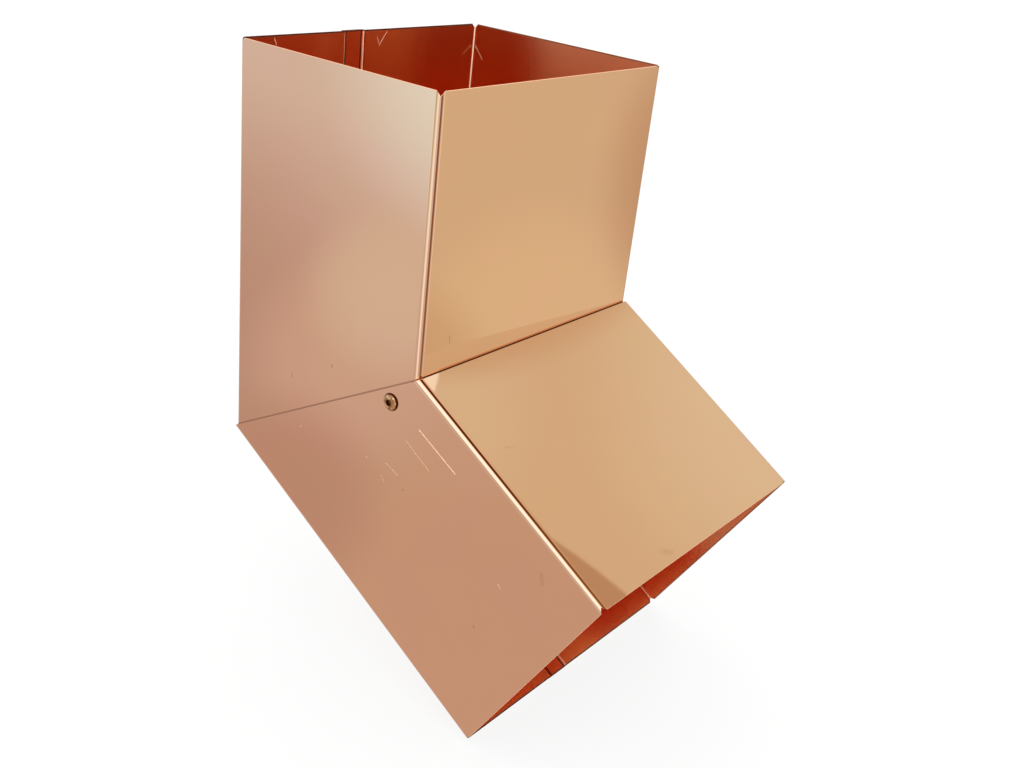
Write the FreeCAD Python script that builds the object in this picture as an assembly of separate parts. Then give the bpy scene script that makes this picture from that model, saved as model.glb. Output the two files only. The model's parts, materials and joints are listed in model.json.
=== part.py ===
import FreeCAD, Part
import math
import os

from FreeCAD import Vector

# A copper downspout elbow: two folded sections, mitred, tucked into each other and riveted.
# Millimetres and degrees. The origin is the centre of the inlet's rim, +Z is up, the lower
# section kicks out towards +X, and Y runs from cheek to cheek.

# Section of the tube, outside the upper section
section_depth = 76.2
section_width = 101.6

# Lengths along the throat, from each mouth to the mitre, and the change of direction
upper_throat_length = 77.8
lower_throat_length = 79.4
bend_angle = 60.0

# The sheet and its folded corners
sheet = 0.55
corner_inner_radius = 1.3

# How the upper section tucks into the lower one
tuck_clearance = 0.1
mitre_clearance = 0.1
tab_reach = 12.0
tab_corner_relief = 2.2
tab_seam_relief = 4.0

# The lock seam in the heel wall: four layers, clipped to a two-layer lap near each end
upper_seam_offset = -7.0
lower_seam_offset = -5.2
seam_width = 7.5
seam_recess = 0.5
seam_layer_gap = 0.04
joggle_radius = 0.5
joggle_angle = 60.0
lock_clip = 12.0

# The V notches that mark the bend lines at the mouths
notch_width = 2.0
notch_depth = 1.3

# The blind rivets through the cheeks, placed from the lower section's edges
rivet_from_throat = 13.6
rivet_from_mitre = 4.1
rivet_shank_diameter = 2.4
rivet_hole_clearance = 0.05
rivet_head_diameter = 5.0
rivet_head_height = 1.2
rivet_edge_height = 0.35
blind_head_diameter = 3.8
blind_head_length = 2.6
mandrel_diameter = 1.45
mandrel_clearance = 0.03
mandrel_head_diameter = 2.3
mandrel_recess = 0.5

# Worked out from the sizes above
half_bend = math.radians(bend_angle / 2)
upper_axis_length = upper_throat_length + section_depth / 2 * math.tan(half_bend)
lower_axis_length = lower_throat_length + section_depth / 2 * math.tan(half_bend)
nest_step = sheet + tuck_clearance
mitre_centre = Vector(0, 0, -upper_axis_length)
mitre_normal = Vector(-math.sin(half_bend), 0, math.cos(half_bend))
lower_direction = Vector(math.sin(2 * half_bend), 0, -math.cos(2 * half_bend))
beyond = 2 * (section_depth + section_width)

# The side along Y that the inner sheet of each seam comes from
upper_inner_side = -1
lower_inner_side = 1


def offset_side(vertices, radii, offset):
    """Edges and end points of a line beside the sheet's mid-line, which bends at its inner vertices."""
    edges = []
    first = None
    last = None
    for index in range(1, len(vertices) - 1):
        before = (vertices[index] - vertices[index - 1]).normalize()
        after = (vertices[index + 1] - vertices[index]).normalize()
        turn = math.atan2(before.x * after.y - before.y * after.x, before.dot(after))
        side = math.copysign(1, turn)
        radius = radii[index - 1]
        reach = radius * math.tan(abs(turn) / 2)
        left_before = Vector(-before.y, before.x, 0)
        left_after = Vector(-after.y, after.x, 0)
        start = vertices[index] - before * reach
        centre = start + left_before * (side * radius)
        bend_start = start + left_before * offset
        bend_end = vertices[index] + after * reach + left_after * offset
        outward = (vertices[index] - centre).normalize()
        bend_middle = centre + outward * (radius - side * offset)
        if first is None:
            first = vertices[0] + left_before * offset
            last = first
        if last.distanceToPoint(bend_start) > 1e-6:
            edges.append(Part.LineSegment(last, bend_start).toShape())
        edges.append(Part.Arc(bend_start, bend_middle, bend_end).toShape())
        last = bend_end
    tip = vertices[-1] + left_after * offset
    edges.append(Part.LineSegment(last, tip).toShape())
    return edges, first, tip


def folded_sheet(path):
    """Face of a sheet's cross-section, of even thickness about its mid-line."""
    vertices, radii = path
    left, left_start, left_tip = offset_side(vertices, radii, sheet / 2)
    right, right_start, right_tip = offset_side(vertices, radii, -sheet / 2)
    start_edge = Part.LineSegment(right_start, left_start).toShape()
    tip_edge = Part.LineSegment(left_tip, right_tip).toShape()
    return Part.Face(Part.Wire([start_edge] + left + [tip_edge] + right[::-1]))


def section_path(depth, width, seam_offset, inner_side, locked):
    """Mid-line of a section: from the seam's inner sheet, around the tube, to its outer sheet.

    The inner sheet comes from the side that inner_side gives, -1 or 1 along Y. A locked seam
    has both edges folded back and hooked into each other, an unlocked one is a plain lap.
    """
    half_depth = depth / 2 - sheet / 2
    half_width = width / 2 - sheet / 2
    corner_radius = corner_inner_radius + sheet / 2
    pitch = sheet + seam_layer_gap

    def on_heel(across, level):
        """A point of the seam: across it from its inner sheet's side, and outwards from the wall."""
        return Vector(-half_depth - level, seam_offset - inner_side * across, 0)

    # Layers, counted outwards: inner sheet, outer hook, inner hook, outer sheet
    inner_level, outer_hook, inner_hook, outer_level = [seam_recess + pitch * k for k in range(4)]
    fold_reach = seam_width / 2 - sheet / 2
    fold_centre = fold_reach - pitch

    # The inner sheet steps back from the wall in two equal bends
    step_angle = math.acos(1 - seam_recess / (2 * joggle_radius))
    step_run = seam_recess / math.tan(step_angle)
    inner_step = [on_heel(step_run - seam_width / 2, inner_level), on_heel(-seam_width / 2, 0)]

    # The outer sheet's joggle passes close round the inner sheet's fold
    slope = math.radians(joggle_angle)

    def joggle(level):
        """Where the joggle's mid-line crosses a level."""
        run = (2 * pitch - (level - outer_hook) * math.cos(slope)) / math.sin(slope)
        return on_heel(fold_centre + run, level)

    if locked:
        hooked = [on_heel(-fold_centre, inner_hook), on_heel(fold_reach, inner_hook),
                  on_heel(fold_reach, inner_level)]
        hooking = [joggle(0), joggle(outer_level), on_heel(-fold_reach, outer_level),
                   on_heel(-fold_reach, outer_hook), on_heel(fold_centre, outer_hook)]
        folds = [pitch, pitch]
    else:
        hooked = [on_heel(seam_width / 2, inner_level)]
        hooking = [joggle(0), joggle(outer_hook), on_heel(-seam_width / 2, outer_hook)]
        folds = []

    corners = [Vector(x, inner_side * y, 0) for x, y in
               ((-half_depth, half_width), (half_depth, half_width),
                (half_depth, -half_width), (-half_depth, -half_width))]
    vertices = hooked + inner_step + corners + hooking
    joggle_bends = [joggle_radius, joggle_radius]
    return vertices, folds + joggle_bends + [corner_radius] * 4 + joggle_bends + folds


def stretch(path, top, bottom):
    """A straight length of a folded section between two heights."""
    face = folded_sheet(path)
    face.translate(Vector(0, 0, top))
    return face.extrude(Vector(0, 0, bottom - top))


def below_mitre(height):
    """Everything under a plane that lies parallel to the mitre, at a height square to it."""
    block = Part.makeBox(beyond, beyond, beyond, Vector(-beyond / 2, -beyond / 2, -beyond))
    block.rotate(Vector(0, 0, 0), Vector(0, 1, 0), -bend_angle / 2)
    block.translate(mitre_centre + mitre_normal * height)
    return block


def corner_signs():
    """The four corners of a section, as signs along X and Y."""
    return [(x, y) for x in (-1, 1) for y in (-1, 1)]


def mouth_notches(depth, width, mouth):
    """V-shaped cutters at the four bend lines of a mouth."""
    over = notch_depth
    reach = 4 * (corner_inner_radius + sheet)
    half_top = notch_width / 2 * (notch_depth + over) / notch_depth
    points = [Vector(0, 0, -notch_depth), Vector(half_top, 0, over), Vector(-half_top, 0, over)]
    wedge = Part.Face(Part.makePolygon(points + points[:1])).extrude(Vector(0, 2 * reach, 0))
    wedge.translate(Vector(0, -reach, 0))
    cutters = []
    for x, y in corner_signs():
        cutter = wedge.copy()
        cutter.rotate(Vector(0, 0, 0), Vector(0, 0, 1), -45 * x * y)
        cutter.translate(Vector(x * depth / 2, y * width / 2, mouth))
        cutters.append(cutter)
    return cutters


def leg(depth, width, mouth, seam_offset, inner_side, mitre_height):
    """A section that stands under its mouth with its throat towards +X, cut at the mitre."""
    heel_end = mitre_centre.z - depth / 2 * math.tan(half_bend)
    lock_top = mouth - lock_clip
    lock_bottom = heel_end + lock_clip
    lap = section_path(depth, width, seam_offset, inner_side, False)
    lock = section_path(depth, width, seam_offset, inner_side, True)
    tube = stretch(lap, mouth, lock_top)
    tube = tube.fuse([stretch(lock, lock_top, lock_bottom), stretch(lap, lock_bottom, heel_end - depth)])
    return tube.cut([below_mitre(mitre_height)] + mouth_notches(depth, width, mouth)).removeSplitter()


def across_mitre(shape):
    """The mirror image in the mitre, which turns a leg from the upper direction to the lower one."""
    return shape.mirror(mitre_centre, mitre_normal)


def post(x, y, size_x, size_y):
    """An upright block centred on a point of the section, from the inlet's rim to far below."""
    return Part.makeBox(size_x, size_y, beyond, Vector(x - size_x / 2, y - size_y / 2, -beyond))


def tabs():
    """The upper section's walls past the mitre, clipped at the corners and beside the seam."""
    path = section_path(section_depth, section_width, upper_seam_offset, upper_inner_side, False)
    ring = stretch(path, 0, 2 * mitre_centre.z)
    band = below_mitre(tab_reach).cut(below_mitre(0))
    clip = 2 * tab_corner_relief
    reliefs = [post(x * section_depth / 2, y * section_width / 2, clip, clip) for x, y in corner_signs()]
    reliefs.append(post(-section_depth / 2, upper_seam_offset, clip, seam_width + 2 * tab_seam_relief))
    return across_mitre(ring.common(band).cut(reliefs))


def rivet_point():
    """Where the rivets' common axis crosses the middle plane."""
    x = section_depth / 2 + nest_step - rivet_from_throat
    on_mitre = mitre_centre + Vector(x, 0, x * math.tan(half_bend))
    return on_mitre + lower_direction * (rivet_from_mitre / math.cos(half_bend))


def rivet_hole():
    """The hole for both rivets, straight through from cheek to cheek."""
    radius = rivet_shank_diameter / 2 + rivet_hole_clearance
    start = rivet_point() - Vector(0, beyond / 2, 0)
    return Part.makeCylinder(radius, beyond, start, Vector(0, 1, 0))


def turned(edges):
    """A solid of revolution about Z from the edges of its half section."""
    face = Part.Face(Part.Wire(edges))
    return face.revolve(Vector(0, 0, 0), Vector(0, 0, 1), 360)


def chain(points):
    """Straight edges through points of a half section, given as radius and height."""
    corners = [Vector(radius, 0, height) for radius, height in points]
    return [Part.LineSegment(a, b).toShape() for a, b in zip(corners, corners[1:])]


def arc(start, middle, end):
    """An arc through three points of a half section, given as radius and height."""
    return Part.Arc(*[Vector(radius, 0, height) for radius, height in (start, middle, end)]).toShape()


def dome_height(radius):
    """Height of the rivet head's spherical dome at a radius."""
    half = rivet_head_diameter / 2
    rise = rivet_head_height - rivet_edge_height
    sphere = (half ** 2 + rise ** 2) / (2 * rise)
    return math.sqrt(sphere ** 2 - radius ** 2) - sphere + rivet_head_height


grip = 2 * sheet + tuck_clearance
blind_end = -grip - blind_head_length


def rivet():
    """A set blind rivet, standing on the sheet at height 0 with its head up."""
    bore = mandrel_diameter / 2 + mandrel_clearance
    head = rivet_head_diameter / 2
    shank = rivet_shank_diameter / 2
    bulge = blind_head_diameter / 2
    middle = (bore + head) / 2
    outline = [arc((bore, dome_height(bore)), (middle, dome_height(middle)), (head, rivet_edge_height))]
    outline += chain([(head, rivet_edge_height), (head, 0), (shank, 0), (shank, -grip)])
    outline += [arc((shank, -grip), (bulge, (blind_end - grip) / 2), (shank, blind_end))]
    outline += chain([(shank, blind_end), (bore, blind_end), (bore, dome_height(bore))])
    return turned(outline)


def mandrel():
    """The stub left in a set blind rivet: its broken end sunk in the head, its own head inside."""
    stem = mandrel_diameter / 2
    head = mandrel_head_diameter / 2
    under = blind_end - mandrel_clearance
    slant = math.sqrt(0.5)
    top = dome_height(stem) - mandrel_recess
    outline = chain([(0, under - head), (0, top), (stem, top), (stem, under), (head, under)])
    outline += [arc((head, under), (head * slant, under - head * slant), (0, under - head))]
    return turned(outline)


def on_cheeks(piece):
    """Two copies of a rivet piece, one on the outside of each of the lower section's cheeks."""
    copies = []
    for side in (-1, 1):
        copy = piece.copy()
        copy.rotate(Vector(0, 0, 0), Vector(1, 0, 0), -90 * side)
        copy.translate(rivet_point() + Vector(0, side * (section_width / 2 + nest_step), 0))
        copies.append(copy)
    return Part.makeCompound(copies)


def upper_section():
    """The upper leg with its tabs, drilled for the rivets."""
    upper = leg(section_depth, section_width, 0, upper_seam_offset, upper_inner_side, 0)
    return upper.fuse(tabs()).removeSplitter().cut(rivet_hole())


def lower_section():
    """The lower leg, which lies outside the tabs, drilled for the rivets."""
    depth = section_depth + 2 * nest_step
    width = section_width + 2 * nest_step
    mouth = mitre_centre.z + lower_axis_length
    lower = leg(depth, width, mouth, lower_seam_offset, lower_inner_side, mitre_clearance)
    return across_mitre(lower).cut(rivet_hole())


nodes = {
    "upper_section": upper_section(),
    "lower_section": lower_section(),
    "rivets": on_cheeks(rivet()),
    "rivet_mandrels": on_cheeks(mandrel()),
}

os.makedirs("parts", exist_ok=True)
for name, shape in nodes.items():
    shape.exportStep(f"parts/{name}.step")
    volumes = ", ".join(f"{solid.Volume:.1f}" for solid in shape.Solids)
    print(f"{name}: {len(shape.Solids)} solids, {volumes} mm3, valid {shape.isValid()}")
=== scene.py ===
import json
import math
from dataclasses import dataclass

import bpy
from mathutils import Matrix, Vector


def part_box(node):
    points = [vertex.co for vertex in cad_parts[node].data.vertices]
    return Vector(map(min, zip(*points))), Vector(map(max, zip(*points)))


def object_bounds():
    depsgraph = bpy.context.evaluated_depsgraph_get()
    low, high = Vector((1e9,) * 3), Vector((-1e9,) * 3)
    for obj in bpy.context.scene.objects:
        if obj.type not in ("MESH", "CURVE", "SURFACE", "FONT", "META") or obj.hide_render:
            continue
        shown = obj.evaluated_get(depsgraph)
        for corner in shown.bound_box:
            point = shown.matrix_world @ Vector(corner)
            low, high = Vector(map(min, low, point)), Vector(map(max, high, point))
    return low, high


# A bare copper downspout elbow: two folded sections, riveted through the cheeks.
# Metres, in the part's own frame: the inlet's rim is at the origin, the lower section kicks
# out towards +X, and the near cheek faces -Y. Each leg also has a frame of its own, from the
# point where the legs' axes cross: x towards the throat, y as in the part and z up the leg.

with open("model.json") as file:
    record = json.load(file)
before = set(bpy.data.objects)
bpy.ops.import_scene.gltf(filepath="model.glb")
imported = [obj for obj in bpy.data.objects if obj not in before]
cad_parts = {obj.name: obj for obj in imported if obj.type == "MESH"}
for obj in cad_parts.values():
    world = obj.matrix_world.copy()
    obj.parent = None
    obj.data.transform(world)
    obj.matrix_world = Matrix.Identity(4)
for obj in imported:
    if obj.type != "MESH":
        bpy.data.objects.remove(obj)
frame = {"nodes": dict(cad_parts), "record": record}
cad_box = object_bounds()

MM = 0.001

# Camera, fitted to the photograph's edges, with its angles in degrees
PHOTO_WIDTH = 1024
SENSOR_WIDTH = 36.0
FOCAL_PIXELS = 1167.8
CAMERA_TARGET = Vector((0.0, 44.51, -121.02)) * MM
CAMERA_DISTANCE = 426.25 * MM
CAMERA_AZIMUTH = 36.143
CAMERA_ELEVATION = 24.496
CAMERA_ROLL = -6.699
CLIP_START = 0.01
CLIP_END = 100.0

# The folded sheet
UPPER_DEPTH = 76.2 * MM
SHEET = 0.55 * MM
BEND_RADIUS = 1.85 * MM
SEAM_WIDTH = 7.5 * MM
JOGGLE_SHIFT = 0.5 * MM
UPPER_SEAM = -7.0 * MM
LOWER_SEAM = -5.2 * MM
FACE_TOLERANCE = 0.04 * MM

# Copper, stains, painted light and painted shade, as linear colours
COPPER_ROSE = (0.94, 0.545, 0.37)
COPPER_GOLD = (0.93, 0.555, 0.36)
# The insides' tints are painted light: darker and redder in the upper section, brighter in the lower
UPPER_INSIDE = (0.905, 0.53, 0.27)
LOWER_INSIDE = (0.96, 0.58, 0.32)
# Painted light: the redder colour of the dull film inside the far cheeks
HAZE_PAINTED_RED = (0.97, 0.39, 0.18)
# Wear on the bends, lightened as a painted highlight
WEAR_AND_HIGHLIGHT_PINK = (1.0, 0.66, 0.48)
SCRATCH_BRIGHT = (0.72, 0.445, 0.29)
TARNISH_BROWN = (0.20, 0.085, 0.035)
RIVET_GOLD = (0.96, 0.60, 0.32)
RIVET_BROWN = (0.34, 0.13, 0.04)
# Painted shade in the seam, along the mitre, on dark rims and around and in the rivets
PAINTED_SHADE_DARK = (0.12, 0.020, 0.004)
# Dark steel, partly painted shade in the rivets' holes
MANDREL_BROWN = (0.09, 0.02, 0.012)

# Roughness, the metallic share left on the worn bands with painted highlights and on the scratches, and
# heights of the bump
SHEET_ROUGHNESS = (0.012, 0.020)
GRAIN_ROUGHNESS = 0.006
UPPER_INSIDE_ROUGHNESS = 0.16
LOWER_INSIDE_ROUGHNESS = 0.14
HAZE_ROUGHNESS = 0.42
WORN_ROUGHNESS = 0.55
RIVET_ROUGHNESS = (0.22, 0.5)
MANDREL_ROUGHNESS = (0.4, 0.6)
WORN_METALLIC = 0.2
WAVE_HEIGHT = 0.04 * MM
GRAIN_HEIGHT = 0.01 * MM
GRAIN_STRENGTH = 0.02

# Noise patterns: features to the metre and octaves of detail, the grain's stretch along a leg,
# and the ranges of the noise that are used
GRAIN = (4000.0, 2.0)
SMUDGES = (45.0, 4.0)
WAVES = (9.0, 1.0)
PATCHES = (700.0, 2.0)
MOTTLE = (1100.0, 4.0)
STEEL_GRAIN = (3000.0, 3.0)
GRAIN_STRETCH = (1.0, 1.0, 0.02)
MIDDLE_OF_NOISE = (0.3, 0.7)
SMUDGE_RANGE = (0.25, 0.75)
GRAIN_RANGE = (0.2, 0.8)

# Bands on the sheet of wear with a painted highlight and of painted shade: the two distances
# between which each fades, and the strength of those that are partial
INNER_BEND_WEAR_AND_HIGHLIGHT = (0.65 * MM, 0.85 * MM)
UPPER_WEAR_AND_HIGHLIGHT = 1.0
LOWER_WEAR_AND_HIGHLIGHT = 0.3
SEAM_WEAR_AND_HIGHLIGHT = (0.18 * MM, 0.42 * MM)
NEAR_SEAM_WEAR_AND_HIGHLIGHT = 0.35
SEAM_SHADE = (0.15 * MM, 0.45 * MM)
SEAM_SHADE_INSET = 0.75 * MM
RIM_SHADE = (0.5 * MM, 0.2 * MM)
FAR_RIM_SHADE = 0.6
MITRE_SHADE = (0.24 * MM, 0.40 * MM)
MITRE_SHADE_ON_WALLS = 0.45
MITRE_SHADE_ON_THROAT = 0.9
THROAT_EDGE = 0.2 * BEND_RADIUS
RIVET_RING = 0.3 * MM

# The dull film inside the far cheeks, its redder colour painted light: where it starts across each leg,
# and how far it thickens
UPPER_HAZE_START = -31.0 * MM
LOWER_HAZE_START = -22.0 * MM
HAZE_LENGTH = 40.0 * MM

# Scratches, specks and stains: a scratch's core as a share of its width, the noise that breaks
# it up, and strengths
SCRATCH_CORE = 0.3
SCRATCH_GAPS = (0.35, 0.5)
SCRATCH_STRENGTH = (0.7, 1.0)
SPECK_STRENGTH = 0.4
STAIN_STRENGTH = (0.04, 0.16)

# Painted shade on the rivets: above the sheet, in from the head's edge, and out from the axis
RIVET_FOOT_SHADE = (0.35 * MM, 0.6 * MM)
RIVET_EDGE_SHADE = (0.30 * MM, 0.15 * MM)
RIVET_HOLE_SHADE = (0.90 * MM, 1.20 * MM)
MOTTLE_RANGE = (0.38, 0.60)
MOTTLE_STRENGTH = 0.9

# Marks on the sections in their legs' frames, in millimetres: two ends and a half width
UPPER_SCRATCHES = [
    ((-37.55, 7.3, 98.9), (-37.55, 4.4, 95.3), 0.13),
    ((-37.55, 3.0, 97.5), (-37.55, 4.4, 94.7), 0.08),
    ((-37.55, -38.6, 99.0), (-37.55, -37.8, 97.0), 0.11),
    ((-37.0, 50.25, 93.1), (-33.0, 50.25, 88.6), 0.14),
]
UPPER_SPECKS = [
    ((4.5, -50.8, 14.2), (4.6, -50.8, 13.8), 0.50),
    ((-12.5, -50.8, 5.7), (-12.1, -50.8, 4.3), 0.35),
    ((38.1, -39.3, 32.2), (38.1, -39.0, 30.0), 0.30),
]
LOWER_SCRATCHES = [
    ((27.0, -51.45, -31.1), (27.3, -51.45, -47.3), 0.22),
    ((20.2, -51.45, -29.6), (19.9, -51.45, -40.8), 0.07),
    ((8.0, -51.45, -28.8), (8.7, -51.45, -34.1), 0.07),
    ((3.0, -51.45, -29.4), (2.4, -51.45, -31.8), 0.06),
    ((13.8, -51.45, -76.5), (13.4, -51.45, -78.0), 0.10),
    ((3.0, -51.45, -22.6), (3.0, -51.45, -23.0), 0.15),
    ((-12.1, -51.45, 1.2), (-12.1, -51.45, 1.0), 0.15),
]
LOWER_SPECKS = [
    ((6.8, -51.45, -37.7), (6.8, -51.45, -38.1), 0.40),
    ((-4.8, -51.45, -79.6), (-4.9, -51.45, -80.0), 0.45),
]
LOWER_STAINS = [
    ((29.2, -51.45, -83.3), (27.2, -51.45, -85.4), 1.30),
    ((38.75, -41.4, -50.5), (38.75, -38.9, -51.5), 0.50),
    ((38.75, -18.8, -97.5), (38.75, -16.0, -98.8), 1.80),
]

# What the metal reflects: the room's tones below, level and above, the heights between which
# they blend, and soft round panels, each with its azimuth, elevation, radius and softness in
# degrees and its colour
ROOM_LOW = (0.59, 0.51, 0.46)
ROOM_LEVEL = (0.69, 0.765, 0.85)
ROOM_HIGH = (1.18, 1.07, 0.96)
LOW_TO_LEVEL = (-0.55, -0.15)
LEVEL_TO_HIGH = (0.3, 0.8)
ROOM_PANELS = [
    (-57.2, -24.0, 8.0, 8.0, (0.515, 0.455, 0.455)),
    (-44.5, -24.0, 3.2, 3.2, (0.63, 0.59, 0.58)),
    (-49.0, -31.0, 3.2, 3.2, (0.52, 0.43, 0.40)),
    (-42.6, -20.5, 2.6, 2.6, (0.685, 0.73, 0.71)),
    (-36.0, -8.0, 6.0, 6.0, (0.82, 1.18, 1.36)),
    (-21.0, -9.5, 8.5, 4.0, (0.60, 0.62, 0.46)),
    (13.0, -16.0, 11.0, 11.0, (1.02, 1.25, 1.25)),
    (30.0, -36.0, 10.0, 5.0, (1.30, 1.20, 1.10)),
    (148.0, -38.0, 9.0, 4.0, (1.30, 1.20, 1.10)),
    (2.5, 29.8, 23.5, 3.0, (1.40, 1.65, 1.90)),
    (78.0, -16.0, 12.0, 12.0, (0.25, 0.13, 0.05)),
    (114.0, -16.0, 7.0, 5.0, (0.95, 0.88, 0.74)),
    (140.0, -16.3, 15.0, 6.0, (0.69, 0.69, 0.53)),
    (145.0, -21.5, 4.0, 3.0, (0.75, 0.745, 0.56)),
    (137.5, -24.5, 3.0, 2.5, (0.65, 0.585, 0.42)),
    (158.0, -13.2, 9.5, 2.0, (0.55, 0.46, 0.34)),
    (169.6, 38.0, 26.0, 5.0, (0.70, 0.70, 0.54)),
    (173.7, 50.0, 6.0, 4.0, (0.73, 0.77, 0.63)),
    (169.5, 27.2, 8.0, 5.0, (0.76, 0.83, 0.70)),
    (121.0, 53.6, 30.0, 0.08, (0.52, 0.41, 0.29)),
    (128.0, 58.0, 14.0, 6.0, (0.60, 0.47, 0.31)),
    (65.0, 72.0, 20.5, 3.0, (0.25, 0.14, 0.06)),
    (65.0, 76.0, 9.0, 5.0, (0.04, 0.015, 0.005)),
    (158.0, 60.0, 8.0, 3.0, (0.96, 0.84, 0.70)),
    (-165.5, 41.0, 15.0, 1.2, (0.64, 0.56, 0.40)),
    (177.7, 50.1, 4.9, 0.08, (0.98, 1.16, 1.13)),
    (-139.0, 25.0, 25.0, 12.0, (1.25, 0.95, 0.72)),
    (180.0, -47.0, 20.0, 8.0, (1.45, 1.05, 0.75)),
]

# White light, its strength on matt surfaces, and how often light may bounce inside the tube
WHITE = (1.0, 1.0, 1.0)
LIGHT_ON_MATT = 3.0
REFLECTIONS_IN_TUBE = 24

# The floor
FLOOR_SIZE = 30.0
FLOOR_TONE = (0.055, 0.055, 0.055)
FLOOR_ROUGHNESS = 0.9
FLOOR_GLOW = 0.86


class Graph:
    """Short calls that add nodes to a node tree and link them."""

    def __init__(self, tree):
        self.tree = tree

    def feed(self, socket, value):
        """Links an input to another node's output, or sets its own value."""
        if isinstance(value, bpy.types.NodeSocket):
            self.tree.links.new(value, socket)
        elif socket.type == "RGBA":
            socket.default_value = (*value, 1.0)
        else:
            socket.default_value = value

    def feed_all(self, node, inputs):
        """Links or sets several inputs of a node, by name or number."""
        for name, value in inputs.items():
            self.feed(node.inputs[name], value)

    def add(self, kind, inputs=None, **settings):
        """A node of a kind, with its settings, and with its inputs linked or set."""
        node = self.tree.nodes.new(kind)
        for name, value in settings.items():
            setattr(node, name, value)
        self.feed_all(node, inputs or {})
        return node

    def vector_math(self, operation, first, second):
        """The outputs of a vector operation, which may have one input or two."""
        inputs = {0: first} if second is None else {0: first, 1: second}
        return self.add("ShaderNodeVectorMath", inputs, operation=operation).outputs

    def vector(self, operation, first, second=None):
        """A vector operation's vector result."""
        return self.vector_math(operation, first, second)["Vector"]

    def measure(self, operation, first, second=None):
        """A vector operation's number."""
        return self.vector_math(operation, first, second)["Value"]

    def split(self, vector):
        """A vector's three numbers, under X, Y and Z."""
        return self.add("ShaderNodeSeparateXYZ", {"Vector": vector}).outputs

    def math(self, operation, first, second=0.0, clamp=False):
        """A number worked out from one or two others."""
        inputs = {0: first, 1: second}
        return self.add("ShaderNodeMath", inputs, operation=operation, use_clamp=clamp).outputs[0]

    def ramp(self, value, low, high, to_low=0.0, to_high=1.0):
        """A smooth step between two values."""
        inputs = {"Value": value, "From Min": low, "From Max": high, "To Min": to_low, "To Max": to_high}
        return self.add("ShaderNodeMapRange", inputs, interpolation_type="SMOOTHSTEP").outputs["Result"]

    def noise(self, position, scale, detail):
        """Noise from 0 to 1, with a number of features to the metre."""
        inputs = {"Vector": position, "Scale": scale, "Detail": detail}
        return self.add("ShaderNodeTexNoise", inputs).outputs["Fac"]

    def blend(self, factor, first, second):
        """A colour between two others."""
        node = self.add("ShaderNodeMix", data_type="RGBA")
        inputs = {socket.identifier: socket for socket in node.inputs}
        outputs = {socket.identifier: socket for socket in node.outputs}
        for name, value in (("Factor_Float", factor), ("A_Color", first), ("B_Color", second)):
            self.feed(inputs[name], value)
        return outputs["Result_Color"]

    def largest(self, values):
        """The largest of several numbers."""
        result = values[0]
        for value in values[1:]:
            result = self.math("MAXIMUM", result, value)
        return result

    def stroke(self, position, start, end, half_width, core):
        """1 in the core of a straight mark between two points, falling to 0 at its half width."""
        span = end - start
        offset = self.vector("SUBTRACT", position, start)
        along = self.measure("DOT_PRODUCT", offset, span)
        share = self.math("MULTIPLY", along, 1.0 / span.length_squared, clamp=True)
        nearest = self.add("ShaderNodeVectorMath", {0: span, "Scale": share}, operation="SCALE")
        distance = self.measure("DISTANCE", offset, nearest.outputs["Vector"])
        return self.ramp(distance, core * half_width, half_width, 1.0, 0.0)

    def strokes(self, position, marks, core=0.0):
        """1 along every mark of a list in millimetres."""
        return self.largest([
            self.stroke(position, Vector(start) * MM, Vector(end) * MM, half_width * MM, core)
            for start, end, half_width in marks
        ])


@dataclass
class Leg:
    """Where a section lies, in its leg's frame, and what is on it.

    outer_side is the side along Y that the seam's outer sheet comes from, 1 or -1.
    """

    node: str
    turn: float
    mouth: float
    half_depth: float
    half_width: float
    seam: float
    outer_side: int
    inside_colour: tuple
    inside_roughness: float
    haze_start: float
    # Strength of the wear with painted highlights on the bends
    wear_and_highlight: float
    # Whether the mitre gets painted shade
    painted_mitre_shade: bool
    scratches: list
    specks: list
    stains: list


def legs_meet():
    """Where the legs' axes cross, the angle between them and the lower leg's length along its axis."""
    mounts = {mount["name"]: mount for mount in frame["record"]["mounts"]}
    mouth = Vector(mounts["outlet"]["pos_m"])
    axis = Vector(mounts["outlet"]["axis"])
    centre = mouth - axis * (mouth.x / axis.x)
    return centre, math.atan2(axis.x, -axis.z), (mouth - centre).length


# Where the sections and the rivets lie, from the frame
mitre_centre, bend, lower_length = legs_meet()
upper_half_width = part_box("upper_section")[1].y
lower_half_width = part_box("lower_section")[1].y
nest_step = lower_half_width - upper_half_width
rivets_low, rivets_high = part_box("rivets")
rivet_centre = (rivets_low + rivets_high) / 2
rivet_head_radius = (rivets_high.x - rivets_low.x) / 2


def new_material(name):
    """A node material, its graph and its surface shader."""
    material = bpy.data.materials.new(name)
    material.use_nodes = True
    graph = Graph(material.node_tree)
    return material, graph, material.node_tree.nodes["Principled BSDF"]


def part_position(graph):
    """The position in the part's frame."""
    return graph.add("ShaderNodeTexCoord").outputs["Object"]


def leg_position(graph, position, leg):
    """The position in a leg's own frame."""
    place = {"Vector": position, "Location": mitre_centre, "Rotation": (0.0, -leg.turn, 0.0)}
    return graph.add("ShaderNodeMapping", place, vector_type="TEXTURE").outputs["Vector"]


def inner_faces(graph, local, leg):
    """1 on the inside of a section's walls, and 1 along the inside of its four folded corners."""
    past_the_ends = 1.0
    centre = Vector((leg.half_depth - BEND_RADIUS, leg.half_width - BEND_RADIUS, past_the_ends))
    outward = graph.vector("SUBTRACT", graph.vector("ABSOLUTE", local), centre)
    radius = graph.measure("LENGTH", graph.vector("MAXIMUM", outward, (0.0, 0.0, 0.0)))
    parts = graph.split(outward)
    past_both = graph.ramp(graph.math("MINIMUM", parts["X"], parts["Y"]), *INNER_BEND_WEAR_AND_HIGHLIGHT)
    inside = graph.math("LESS_THAN", radius, BEND_RADIUS - SHEET / 2)
    return inside, graph.math("MULTIPLY", past_both, inside)


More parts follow.
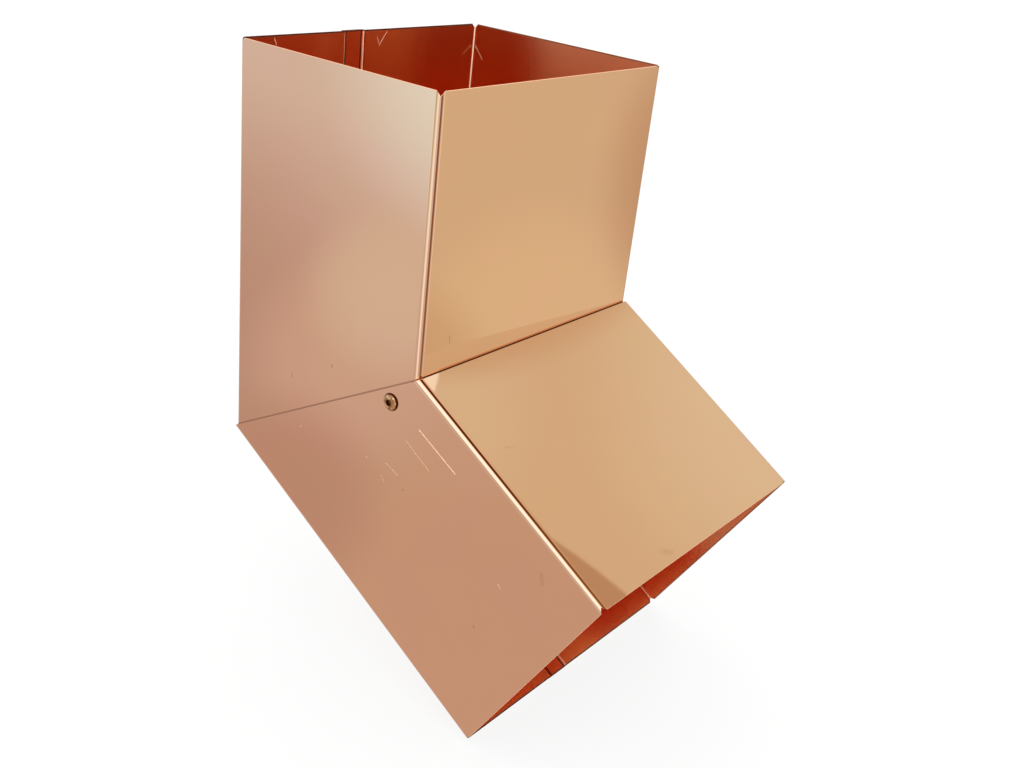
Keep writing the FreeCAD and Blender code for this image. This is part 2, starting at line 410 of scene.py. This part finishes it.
def seam_lines(graph, local, leg):
    """Wear with a painted highlight on the seam's two bends in the heel wall, weaker on the near one, and
    painted shade beside them.
    """
    parts = graph.split(local)
    inside = graph.math("GREATER_THAN", parts["X"], -leg.half_depth + FACE_TOLERANCE)
    heel = graph.math("MULTIPLY", inside, graph.math("LESS_THAN", parts["X"], 0.0))
    centre = leg.seam + leg.outer_side * JOGGLE_SHIFT / 2
    from_centre = graph.math("ABSOLUTE", graph.math("SUBTRACT", parts["Y"], centre))
    from_edge = graph.math("SUBTRACT", from_centre, (SEAM_WIDTH + JOGGLE_SHIFT) / 2)
    strength = graph.ramp(parts["Y"], centre - MM, centre + MM, NEAR_SEAM_WEAR_AND_HIGHLIGHT, 1.0)
    wear_and_highlight = graph.ramp(graph.math("ABSOLUTE", from_edge), *SEAM_WEAR_AND_HIGHLIGHT, strength, 0.0)
    from_seam_shade = graph.math("ABSOLUTE", graph.math("ADD", from_edge, SEAM_SHADE_INSET))
    seam_shade = graph.ramp(from_seam_shade, *SEAM_SHADE, 1.0, 0.0)
    return graph.math("MULTIPLY", heel, wear_and_highlight), graph.math("MULTIPLY", heel, seam_shade)


def dark_rims(graph, local, leg):
    """Painted shade on the mouth's edge along the heel and, weaker, along the far cheek."""
    parts = graph.split(local)
    from_mouth = graph.math("SUBTRACT", leg.mouth, graph.math("ABSOLUTE", parts["Z"]))
    at_mouth = graph.ramp(from_mouth, *RIM_SHADE)
    heel = graph.math("LESS_THAN", parts["X"], BEND_RADIUS - leg.half_depth)
    cheek = leg.half_width - BEND_RADIUS
    far = graph.ramp(parts["Y"], cheek - BEND_RADIUS, cheek, 0.0, FAR_RIM_SHADE)
    return graph.math("MULTIPLY", at_mouth, graph.math("MAXIMUM", heel, far))


def far_haze_and_painted_red(graph, local, leg):
    """A dull film on the far cheek, thicker towards the throat, whose redder colour is painted light."""
    parts = graph.split(local)
    far = graph.math("GREATER_THAN", parts["Y"], leg.half_width - BEND_RADIUS)
    thickness = graph.ramp(parts["X"], leg.haze_start, leg.haze_start + HAZE_LENGTH)
    return graph.math("MULTIPLY", far, thickness)


def mitre_painted_shade(graph, position, local, leg):
    """Painted shade in the corner along the mitre, strong on the throat and weaker on the other walls."""
    normal = Vector((-math.sin(bend / 2), 0.0, math.cos(bend / 2)))
    height = graph.measure("DOT_PRODUCT", graph.vector("SUBTRACT", position, mitre_centre), normal)
    across = graph.split(local)["X"]
    throat = graph.ramp(across, leg.half_depth - BEND_RADIUS, leg.half_depth - THROAT_EDGE)
    strength = graph.ramp(throat, 0.0, 1.0, MITRE_SHADE_ON_WALLS, MITRE_SHADE_ON_THROAT)
    band = graph.ramp(graph.math("ABSOLUTE", height), *MITRE_SHADE, 1.0, 0.0)
    return graph.math("MULTIPLY", band, strength)


def rivet_radius(graph, position):
    """Distance from the rivets' axis."""
    offset = graph.vector("SUBTRACT", position, rivet_centre)
    return graph.measure("LENGTH", graph.vector("MULTIPLY", offset, (1.0, 0.0, 1.0)))


def scratches(graph, local, leg, patches):
    """Bright scratches on a section, fainter in places."""
    gaps = graph.ramp(patches, *SCRATCH_GAPS, *SCRATCH_STRENGTH)
    return graph.math("MULTIPLY", graph.strokes(local, leg.scratches, SCRATCH_CORE), gaps)


def stains(graph, local, leg, patches):
    """Small dark specks on a section, and larger faint stains."""
    specks = graph.math("MULTIPLY", graph.strokes(local, leg.specks), SPECK_STRENGTH)
    if not leg.stains:
        return specks
    strength = graph.ramp(patches, *MIDDLE_OF_NOISE, *STAIN_STRENGTH)
    faint = graph.math("MULTIPLY", graph.strokes(local, leg.stains), strength)
    return graph.math("MAXIMUM", specks, faint)


def painted_sheet_shade(graph, position, local, leg, seam_shade_mask):
    """Painted shade beside the seam, around the rivets, on the rim and along the mitre."""
    radius = rivet_radius(graph, position)
    # Painted shade in a ring around each rivet's head
    rivet_shade_ring = graph.ramp(radius, rivet_head_radius, rivet_head_radius + RIVET_RING, 1.0, 0.0)
    places = [seam_shade_mask, rivet_shade_ring, dark_rims(graph, local, leg)]
    if leg.painted_mitre_shade:
        places.append(mitre_painted_shade(graph, position, local, leg))
    return graph.largest(places)


def sheet_copper(leg):
    """Rolled copper sheet of a section, with its grain, worn bends with painted highlights, scratches,
    stains, and painted shade and light.
    """
    material, graph, shader = new_material(leg.node.replace("section", "copper"))
    position = part_position(graph)
    local = leg_position(graph, position, leg)
    grain = graph.noise(graph.vector("MULTIPLY", local, GRAIN_STRETCH), *GRAIN)
    smudges = graph.noise(local, *SMUDGES)
    patches = graph.noise(local, *PATCHES)

    inside, inner_bend = inner_faces(graph, local, leg)
    seam_bend, seam_shade_mask = seam_lines(graph, local, leg)
    haze_and_painted_red = graph.math("MULTIPLY", inside, far_haze_and_painted_red(graph, local, leg))
    wear_highlight_mask = graph.math("MULTIPLY", graph.math("MAXIMUM", inner_bend, seam_bend), leg.wear_and_highlight)
    scratch = scratches(graph, local, leg, patches)
    stain = stains(graph, local, leg, patches)
    painted_shade = painted_sheet_shade(graph, position, local, leg, seam_shade_mask)

    colour = graph.blend(graph.ramp(smudges, *MIDDLE_OF_NOISE), COPPER_ROSE, COPPER_GOLD)
    # Over the copper's random tones: the insides' painted tint, the film's painted red, wear with painted
    # highlights, scratches, stains and painted shade
    for share, paint in ((inside, leg.inside_colour), (haze_and_painted_red, HAZE_PAINTED_RED), (wear_highlight_mask, WEAR_AND_HIGHLIGHT_PINK),
                         (scratch, SCRATCH_BRIGHT), (stain, TARNISH_BROWN), (painted_shade, PAINTED_SHADE_DARK)):
        colour = graph.blend(share, colour, paint)

    rough = graph.math("ADD", graph.ramp(smudges, *SMUDGE_RANGE, *SHEET_ROUGHNESS),
                       graph.ramp(grain, *GRAIN_RANGE, 0.0, GRAIN_ROUGHNESS))
    broken = graph.largest([wear_highlight_mask, scratch, painted_shade])
    for share, roughness in ((inside, leg.inside_roughness), (haze_and_painted_red, HAZE_ROUGHNESS),
                             (broken, WORN_ROUGHNESS)):
        rough = graph.ramp(share, 0.0, 1.0, rough, roughness)

    waves = {"Height": graph.noise(local, *WAVES), "Strength": 1.0, "Distance": WAVE_HEIGHT}
    wavy = graph.add("ShaderNodeBump", waves).outputs["Normal"]
    fine = {"Height": grain, "Strength": GRAIN_STRENGTH, "Distance": GRAIN_HEIGHT, "Normal": wavy}
    graph.feed_all(shader, {
        "Base Color": colour,
        "Metallic": graph.ramp(graph.math("MAXIMUM", wear_highlight_mask, scratch), 0.0, 1.0, 1.0, WORN_METALLIC),
        "Roughness": rough,
        "Normal": graph.add("ShaderNodeBump", fine).outputs["Normal"],
    })
    return material


def rivet_copper():
    """Copper of the rivets, mottled, with painted shade around the head and in its hole."""
    material, graph, shader = new_material("rivet_copper")
    position = part_position(graph)
    from_middle = graph.math("ABSOLUTE", graph.split(position)["Y"])
    above_sheet = graph.math("SUBTRACT", from_middle, lower_half_width)
    radius = rivet_radius(graph, position)
    inwards = graph.math("SUBTRACT", rivet_head_radius, radius)
    painted_shade = graph.largest([
        graph.ramp(above_sheet, *RIVET_FOOT_SHADE, 1.0, 0.0),
        graph.ramp(inwards, *RIVET_EDGE_SHADE),
        graph.ramp(radius, *RIVET_HOLE_SHADE, 1.0, 0.0),
    ])
    mottle = graph.ramp(graph.noise(position, *MOTTLE), *MOTTLE_RANGE, 0.0, MOTTLE_STRENGTH)
    graph.feed_all(shader, {
        "Base Color": graph.blend(painted_shade, graph.blend(mottle, RIVET_GOLD, RIVET_BROWN), PAINTED_SHADE_DARK),
        "Roughness": graph.ramp(graph.math("MAXIMUM", painted_shade, mottle), 0.0, 1.0, *RIVET_ROUGHNESS),
        "Metallic": 1.0,
    })
    return material


def mandrel_steel():
    """Dull steel of the broken mandrels, stained brown, and dark as painted shade in the rivets' holes.
    """
    material, graph, shader = new_material("mandrel_steel")
    grain = graph.noise(part_position(graph), *STEEL_GRAIN)
    graph.feed_all(shader, {
        "Base Color": graph.blend(graph.ramp(grain, *MIDDLE_OF_NOISE), MANDREL_BROWN, TARNISH_BROWN),
        "Roughness": graph.ramp(grain, *MIDDLE_OF_NOISE, *MANDREL_ROUGHNESS),
        "Metallic": 1.0,
    })
    return material


def plain_floor(height):
    """A large pale floor, which isn't part of the object and doesn't show in the metal."""
    bpy.ops.mesh.primitive_plane_add(size=FLOOR_SIZE, location=(0.0, 0.0, height))
    floor = bpy.context.object
    floor.name = "floor"
    floor.visible_glossy = False
    material, graph, shader = new_material("pale_floor")
    graph.feed_all(shader, {
        "Base Color": FLOOR_TONE,
        "Roughness": FLOOR_ROUGHNESS,
        "Emission Color": WHITE,
        "Emission Strength": FLOOR_GLOW,
    })
    floor.data.materials.append(material)


def towards(azimuth, elevation):
    """The direction at an azimuth, from -Y towards +X, and an elevation, both in degrees."""
    around = math.radians(azimuth)
    above = math.radians(elevation)
    level = math.cos(above)
    return Vector((math.sin(around) * level, -math.cos(around) * level, math.sin(above)))


def room_colour(graph):
    """The room's tones by height, with its soft panels over them."""
    direction = graph.add("ShaderNodeTexCoord").outputs["Generated"]
    height = graph.split(direction)["Z"]
    colour = graph.blend(graph.ramp(height, *LOW_TO_LEVEL), ROOM_LOW, ROOM_LEVEL)
    colour = graph.blend(graph.ramp(height, *LEVEL_TO_HIGH), colour, ROOM_HIGH)
    for azimuth, elevation, radius, softness, panel in ROOM_PANELS:
        facing = graph.measure("DOT_PRODUCT", direction, towards(azimuth, elevation))
        rim = math.cos(math.radians(radius + softness))
        core = math.cos(math.radians(max(radius - softness, 0.0)))
        colour = graph.blend(graph.ramp(facing, rim, core), colour, panel)
    return colour


def studio():
    """White light all round, brighter on matt surfaces, and a room of panels for the metal to reflect."""
    world = bpy.data.worlds.new("studio")
    world.use_nodes = True
    nodes = world.node_tree.nodes
    graph = Graph(world.node_tree)
    path = graph.add("ShaderNodeLightPath").outputs
    room = graph.add("ShaderNodeBackground", {"Color": room_colour(graph)})
    plain = nodes["Background"]
    strength = graph.ramp(path["Is Diffuse Ray"], 0.0, 1.0, 1.0, LIGHT_ON_MATT)
    graph.feed_all(plain, {"Color": WHITE, "Strength": strength})
    shares = {0: path["Is Glossy Ray"], 1: plain.outputs[0], 2: room.outputs[0]}
    both = graph.add("ShaderNodeMixShader", shares)
    graph.feed_all(nodes["World Output"], {"Surface": both.outputs[0]})
    scene = bpy.context.scene
    scene.world = world
    scene.cycles.max_bounces = REFLECTIONS_IN_TUBE
    scene.cycles.glossy_bounces = REFLECTIONS_IN_TUBE
    scene.view_settings.view_transform = "Standard"


def fitted_camera():
    """The camera at the photograph's place and angle."""
    back = towards(CAMERA_AZIMUTH, CAMERA_ELEVATION)
    roll = math.radians(CAMERA_ROLL)
    level_right = (-back).cross(Vector((0.0, 0.0, 1.0))).normalized()
    level_up = back.cross(level_right)
    right = level_right * math.cos(roll) - level_up * math.sin(roll)
    up = level_up * math.cos(roll) + level_right * math.sin(roll)
    data = bpy.data.cameras.new("camera")
    data.sensor_width = SENSOR_WIDTH
    data.lens = FOCAL_PIXELS / PHOTO_WIDTH * SENSOR_WIDTH
    data.clip_start = CLIP_START
    data.clip_end = CLIP_END
    camera = bpy.data.objects.new("camera", data)
    turn = Matrix((right, up, back)).transposed().to_4x4()
    camera.matrix_world = Matrix.Translation(CAMERA_TARGET + back * CAMERA_DISTANCE) @ turn
    bpy.context.scene.collection.objects.link(camera)
    bpy.context.scene.camera = camera


def dress(node, material):
    """Gives a CAD node its material."""
    slots = frame["nodes"][node].data.materials
    slots.clear()
    slots.append(material)


upper = Leg(
    node="upper_section",
    turn=0.0,
    mouth=-mitre_centre.z,
    half_depth=UPPER_DEPTH / 2,
    half_width=upper_half_width,
    seam=UPPER_SEAM,
    outer_side=1,
    inside_colour=UPPER_INSIDE,
    inside_roughness=UPPER_INSIDE_ROUGHNESS,
    haze_start=UPPER_HAZE_START,
    wear_and_highlight=UPPER_WEAR_AND_HIGHLIGHT,
    painted_mitre_shade=True,
    scratches=UPPER_SCRATCHES,
    specks=UPPER_SPECKS,
    stains=[],
)
lower = Leg(
    node="lower_section",
    turn=bend,
    mouth=lower_length,
    half_depth=UPPER_DEPTH / 2 + nest_step,
    half_width=lower_half_width,
    seam=LOWER_SEAM,
    outer_side=-1,
    inside_colour=LOWER_INSIDE,
    inside_roughness=LOWER_INSIDE_ROUGHNESS,
    haze_start=LOWER_HAZE_START,
    wear_and_highlight=LOWER_WEAR_AND_HIGHLIGHT,
    painted_mitre_shade=False,
    scratches=LOWER_SCRATCHES,
    specks=LOWER_SPECKS,
    stains=LOWER_STAINS,
)

for section in (upper, lower):
    dress(section.node, sheet_copper(section))
dress("rivets", rivet_copper())
dress("rivet_mandrels", mandrel_steel())

plain_floor(cad_box[0].z)
studio()
fitted_camera()
